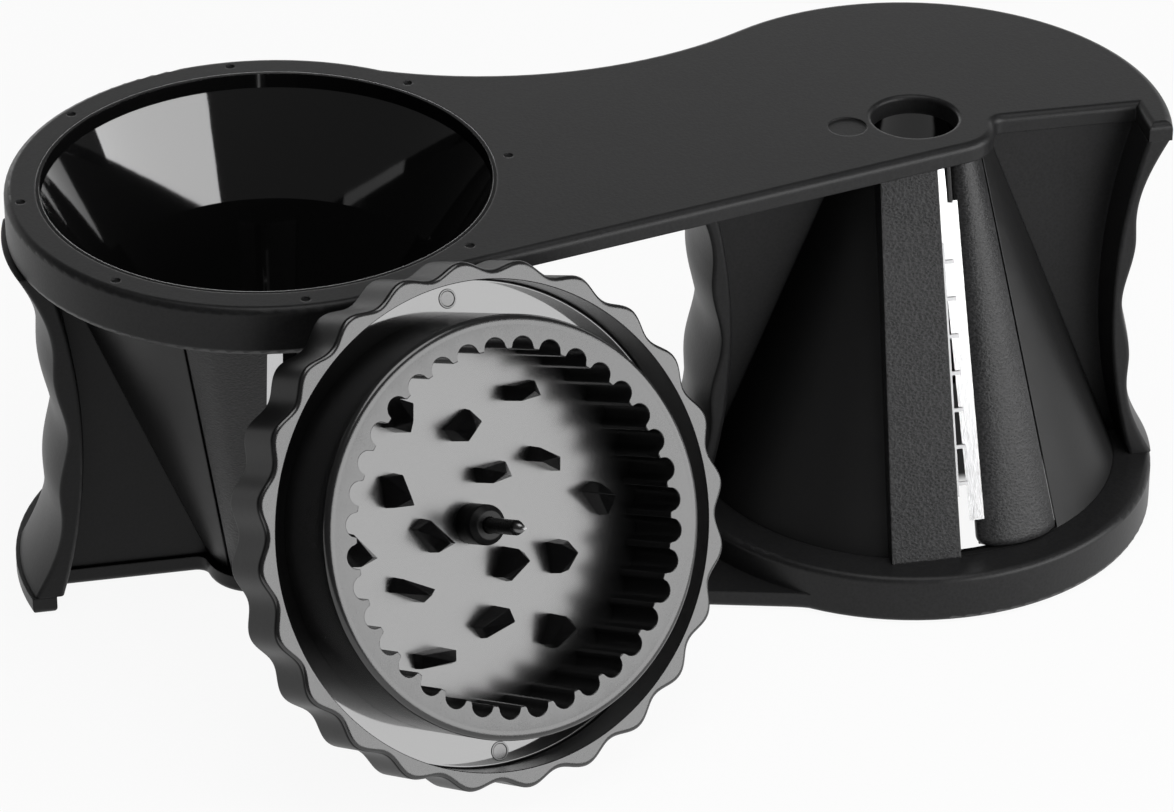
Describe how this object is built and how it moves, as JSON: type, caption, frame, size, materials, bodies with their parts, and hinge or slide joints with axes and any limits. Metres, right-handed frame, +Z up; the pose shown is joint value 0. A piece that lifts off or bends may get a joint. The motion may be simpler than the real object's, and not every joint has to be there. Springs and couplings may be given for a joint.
{
  "type": "hand spiralizer",
  "caption": "Two-funnel hand spiralizer: a vegetable turned in a funnel is peeled into spirals by a blade in its wall; a loose fluted holder cap with spikes turns the last piece.",
  "frame": {"origin": "middle of the two-funnel body on the surface it stands on", "axes": "+X along the body to the unit whose mouth is down, +Y away from the blades' side, +Z up"},
  "size_m": [0.1929, 0.1286, 0.0782],
  "materials": {
    "deck_plastic": "fine moulded texture, satin",
    "grip_plastic": "fine moulded texture, satin",
    "textured_plastic": "grained moulded texture",
    "funnel_plastic": "polished inside",
    "holder_plastic": "semi-gloss",
    "blade_steel": "ground flat, bright",
    "comb_steel": "bright",
    "pin_steel": "bright, turned point"
  },
  "bodies": {
    "body": {"upper_deck": "deck_plastic", "lower_deck": "deck_plastic", "left_funnel": "funnel_plastic", "left_outer_grip": "grip_plastic", "left_inner_grip": "grip_plastic", "left_blade_ramp": "textured_plastic", "left_blade_rib": "textured_plastic", "left_blade": "blade_steel", "left_comb": "comb_steel", "left_blade_clip": "deck_plastic", "right_funnel": "funnel_plastic", "right_outer_grip": "grip_plastic", "right_inner_grip": "grip_plastic", "right_blade_ramp": "textured_plastic", "right_blade_rib": "textured_plastic", "right_blade": "blade_steel", "right_comb": "comb_steel", "right_blade_clip": "deck_plastic"},
    "pin": {"holder_pin": "pin_steel"},
    "holder": {"holder_cap": "holder_plastic", "holder_cup": "holder_plastic", "holder_spikes": "holder_plastic", "holder_post": "holder_plastic"}
  },
  "joints": [
    {"name": "holder_lift", "type": "slide", "parent": "body", "child": "pin", "axis": [0.3323, -0.841, 0.427], "range_m": [0, 0.1]},
    {"name": "holder_spin", "type": "hinge", "parent": "pin", "child": "holder", "pos_m": [-0.0315, -0.05422, 0.03704], "axis": [0.3323, -0.841, 0.427], "continuous": true}
  ]
}
